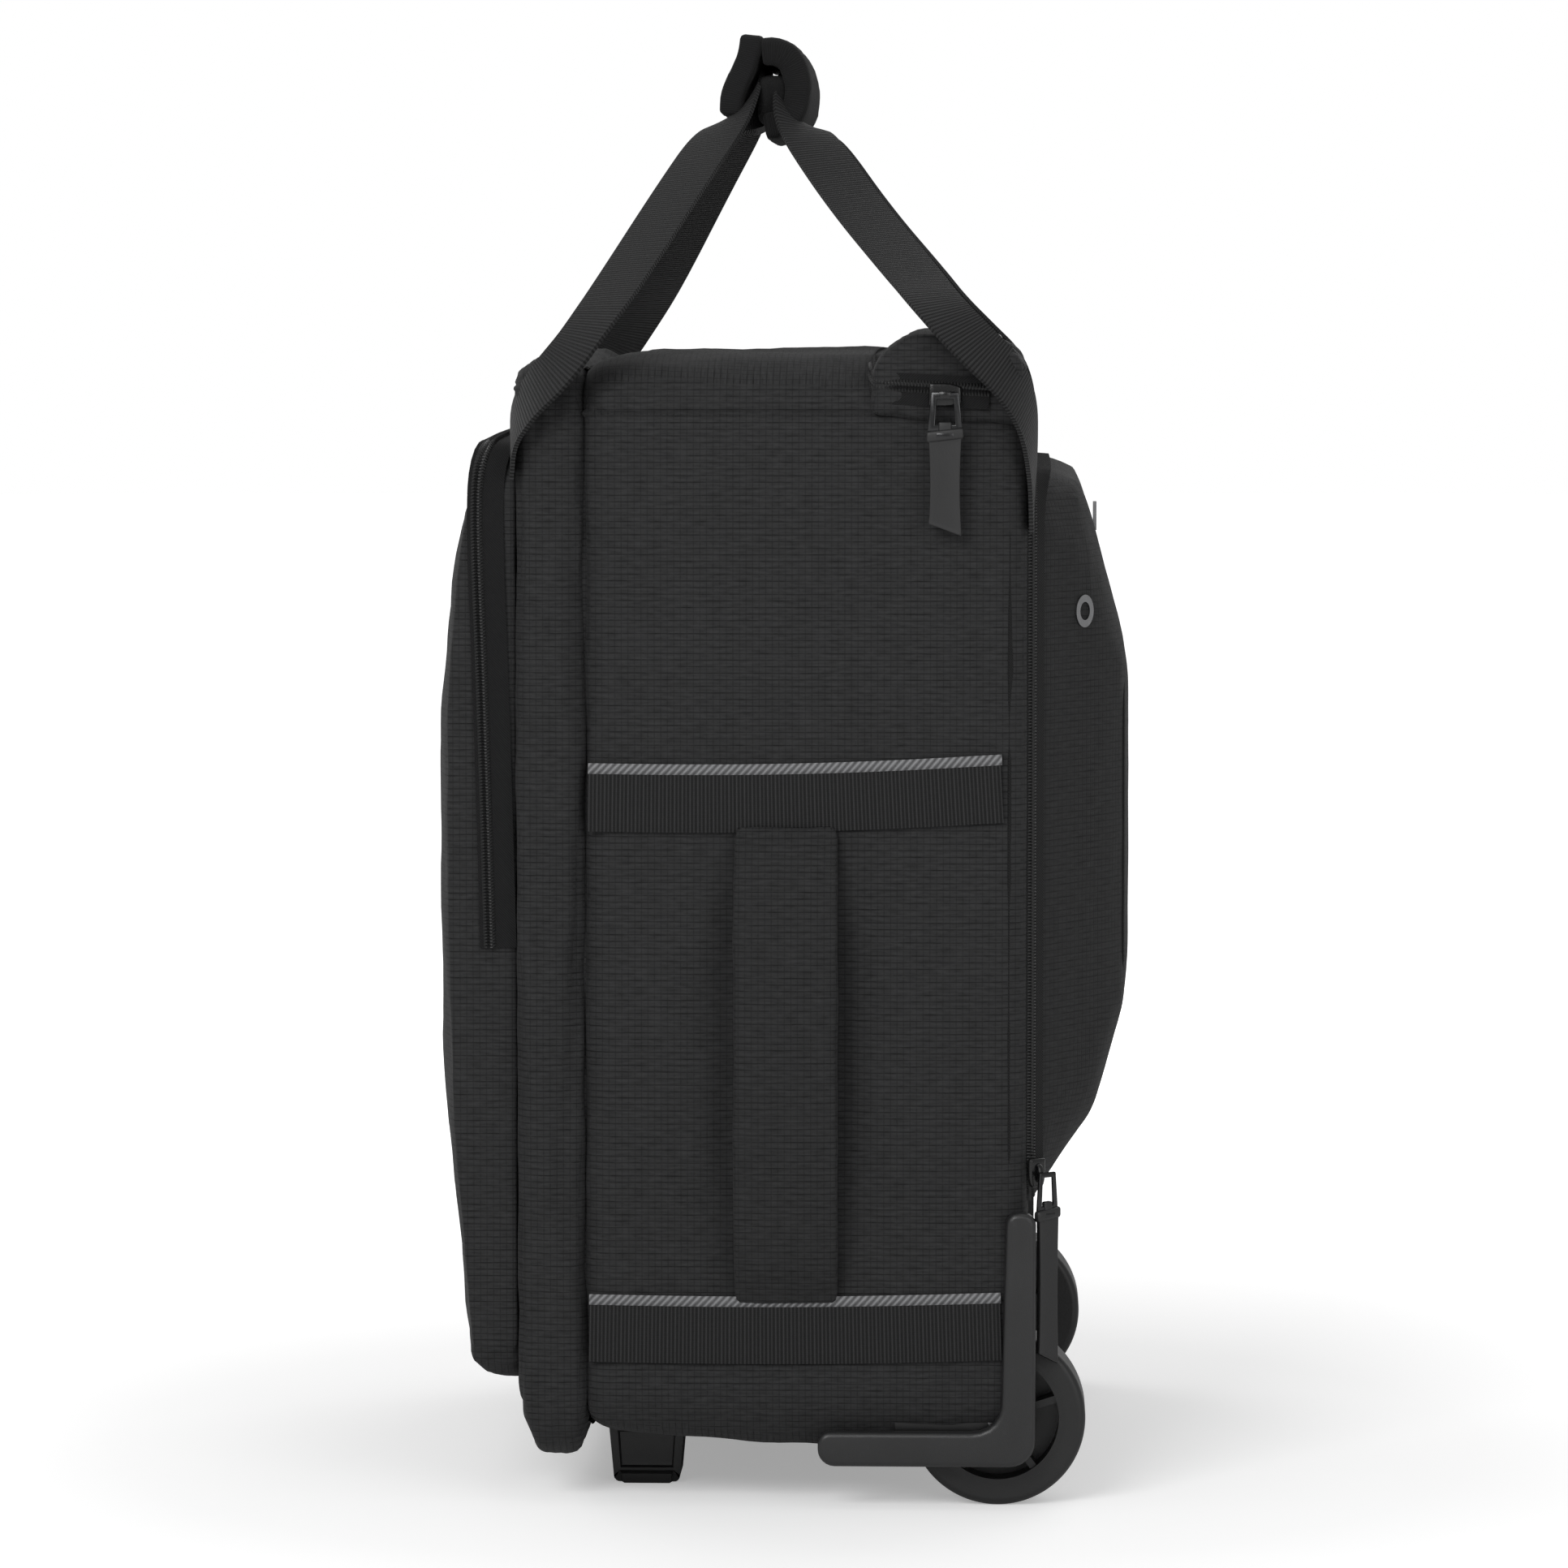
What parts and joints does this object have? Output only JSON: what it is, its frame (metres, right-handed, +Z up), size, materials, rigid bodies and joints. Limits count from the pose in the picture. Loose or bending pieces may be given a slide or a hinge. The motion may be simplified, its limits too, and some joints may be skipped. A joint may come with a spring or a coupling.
{
  "type": "rolling bag",
  "caption": "Soft upright bag on two rear wheels, with book-opening front section, rear pocket, carry handles and a telescopic trolley.",
  "frame": {"origin": "on the floor under the middle of the bag's bounding box", "axes": "+Z up, -Y the bag's front, +Y its back where the wheels are, X across it"},
  "size_m": [0.372, 0.285, 0.612],
  "materials": {
    "shell_cloth": "charcoal ripstop polyester, fine square weave",
    "webbing": "ribbed black polyester webbing",
    "edging": "grey twisted cord edging",
    "zip_tape": "herringbone zip tape with a coil",
    "grip_cloth": "padded charcoal cloth, stitched",
    "board": "grey polyethylene board",
    "tube_metal": "satin anodised",
    "hard_plastic": "satin moulded",
    "tyre": "matt",
    "steel": "zinc plated",
    "nickel": "black nickel plated",
    "slider_metal": "black painted",
    "pull_rubber": "moulded rubber, bare",
    "patch": "plain sewn patch"
  },
  "bodies": {
    "carcass": {"side_panel_right": "shell_cloth", "side_panel_left": "shell_cloth", "top_panel": "shell_cloth", "base_panel": "shell_cloth", "back_panel": "shell_cloth", "base_board": "board", "padded_backboard": "board", "zip_tapes": "zip_tape", "side_bands_right": "webbing", "side_bands_left": "webbing", "band_edging": "edging", "side_handle_right": "shell_cloth", "side_handle_left": "shell_cloth", "garage_cover": "shell_cloth", "outer_tube_right": "tube_metal", "outer_tube_left": "tube_metal", "tube_feet": "hard_plastic", "handle_tray": "hard_plastic", "axles": "steel", "wheel_housing_right": "hard_plastic", "wheel_housing_left": "hard_plastic", "corner_guard_right": "hard_plastic", "corner_guard_left": "hard_plastic", "foot_right": "hard_plastic", "foot_left": "hard_plastic", "foot_screws": "steel"},
    "front_lid": {"lid_front_panel": "shell_cloth", "lid_gusset": "shell_cloth", "front_pocket": "shell_cloth", "pocket_zip": "zip_tape", "pocket_patch": "patch"},
    "handle_front": {"front_webbing": "webbing", "grip_leaf": "grip_cloth"},
    "handle_rear": {"rear_webbing": "webbing", "grip_wrap": "grip_cloth"},
    "rear_cap": {"rear_flap": "shell_cloth", "eyelets": "nickel"},
    "trolley_middle": {"middle_tube_right": "tube_metal", "middle_tube_left": "tube_metal"},
    "trolley_inner": {"inner_tube_right": "tube_metal", "inner_tube_left": "tube_metal", "trolley_grip": "hard_plastic"},
    "release": {"release_button": "hard_plastic", "push_rods": "hard_plastic"},
    "wheel_right": {"tyre_right": "tyre", "hub_right": "hard_plastic", "bearings_right": "steel"},
    "wheel_left": {"tyre_left": "tyre", "hub_left": "hard_plastic", "bearings_left": "steel"},
    "garage_runner": {"garage_slider": "slider_metal"},
    "garage_tab": {"garage_pull": "pull_rubber"},
    "rear_runner": {"rear_slider": "slider_metal"},
    "rear_tab": {"rear_pull": "pull_rubber"},
    "pocket_runner": {"pocket_slider": "slider_metal"},
    "pocket_tab": {"pocket_pull": "pull_rubber"},
    "main_runner": {"main_slider": "slider_metal"},
    "main_tab": {"main_pull": "pull_rubber"},
    "panel_tab": {"panel_puller": "nickel"}
  },
  "joints": [
    {"name": "wheel_right_spin", "type": "hinge", "parent": "carcass", "child": "wheel_right", "pos_m": [0.1465, 0.0882, 0.0365], "axis": [1, 0, 0], "continuous": true},
    {"name": "wheel_left_spin", "type": "hinge", "parent": "carcass", "child": "wheel_left", "pos_m": [-0.1465, 0.0882, 0.0365], "axis": [1, 0, 0], "continuous": true},
    {"name": "trolley_first_stage", "type": "slide", "parent": "carcass", "child": "trolley_middle", "axis": [0, 0, 1], "range_m": [0, 0.28]},
    {"name": "trolley_second_stage", "type": "slide", "parent": "trolley_middle", "child": "trolley_inner", "axis": [0, 0, 1], "range_m": [0, 0.28]},
    {"name": "release_press", "type": "slide", "parent": "trolley_inner", "child": "release", "axis": [0, 0, -1], "range_m": [0, 0.003], "stiffness_N_per_m": 600, "springref_m": -0.002},
    {"name": "lid_opening", "type": "hinge", "parent": "carcass", "child": "front_lid", "pos_m": [0.17, -0.08215, 0.25], "axis": [0, 0, 1], "range_deg": [0, 105]},
    {"name": "front_handle_swing", "type": "hinge", "parent": "front_lid", "child": "handle_front", "pos_m": [0, -0.1124, 0.447], "axis": [1, 0, 0], "range_deg": [0, 90]},
    {"name": "rear_handle_swing", "type": "hinge", "parent": "carcass", "child": "handle_rear", "pos_m": [0, 0.1016, 0.434], "axis": [-1, 0, 0], "range_deg": [0, 90]},
    {"name": "rear_pocket_opening", "type": "hinge", "parent": "carcass", "child": "rear_cap", "pos_m": [0, 0.1011, 0.127], "axis": [-1, 0, 0], "range_deg": [0, 75]},
    {"name": "garage_slider_travel", "type": "slide", "parent": "carcass", "child": "garage_runner", "axis": [0, -1, 0], "range_m": [0, 0.017]},
    {"name": "garage_pull_swing", "type": "hinge", "parent": "garage_runner", "child": "garage_tab", "pos_m": [0.1806, 0.066, 0.46], "axis": [0, -1, 0], "range_deg": [0, 90]},
    {"name": "rear_slider_travel", "type": "slide", "parent": "carcass", "child": "rear_runner", "axis": [0, 0, 1], "range_m": [0, 0.24]},
    {"name": "rear_pull_swing", "type": "hinge", "parent": "rear_runner", "child": "rear_tab", "pos_m": [0.1668, 0.108, 0.136], "axis": [1, 0, 0], "range_deg": [0, 90]},
    {"name": "pocket_slider_travel", "type": "slide", "parent": "front_lid", "child": "pocket_runner", "axis": [0, 0, 1], "range_m": [0, 0.18]},
    {"name": "pocket_pull_swing", "type": "hinge", "parent": "pocket_runner", "child": "pocket_tab", "pos_m": [-0.1686, -0.117, 0.237], "axis": [-1, 0, 0], "range_deg": [0, 90]},
    {"name": "main_slider_travel", "type": "slide", "parent": "carcass", "child": "main_runner", "axis": [0, 0, 1], "range_m": [0, 0.32]},
    {"name": "main_pull_swing", "type": "hinge", "parent": "main_runner", "child": "main_tab", "pos_m": [-0.1766, -0.082, 0.103], "axis": [-1, 0, 0], "range_deg": [0, 90]},
    {"name": "panel_puller_swing", "type": "hinge", "parent": "rear_cap", "child": "panel_tab", "pos_m": [0.075, 0.12825, 0.4135], "axis": [1, 0, 0], "range_deg": [0, 90]}
  ]
}
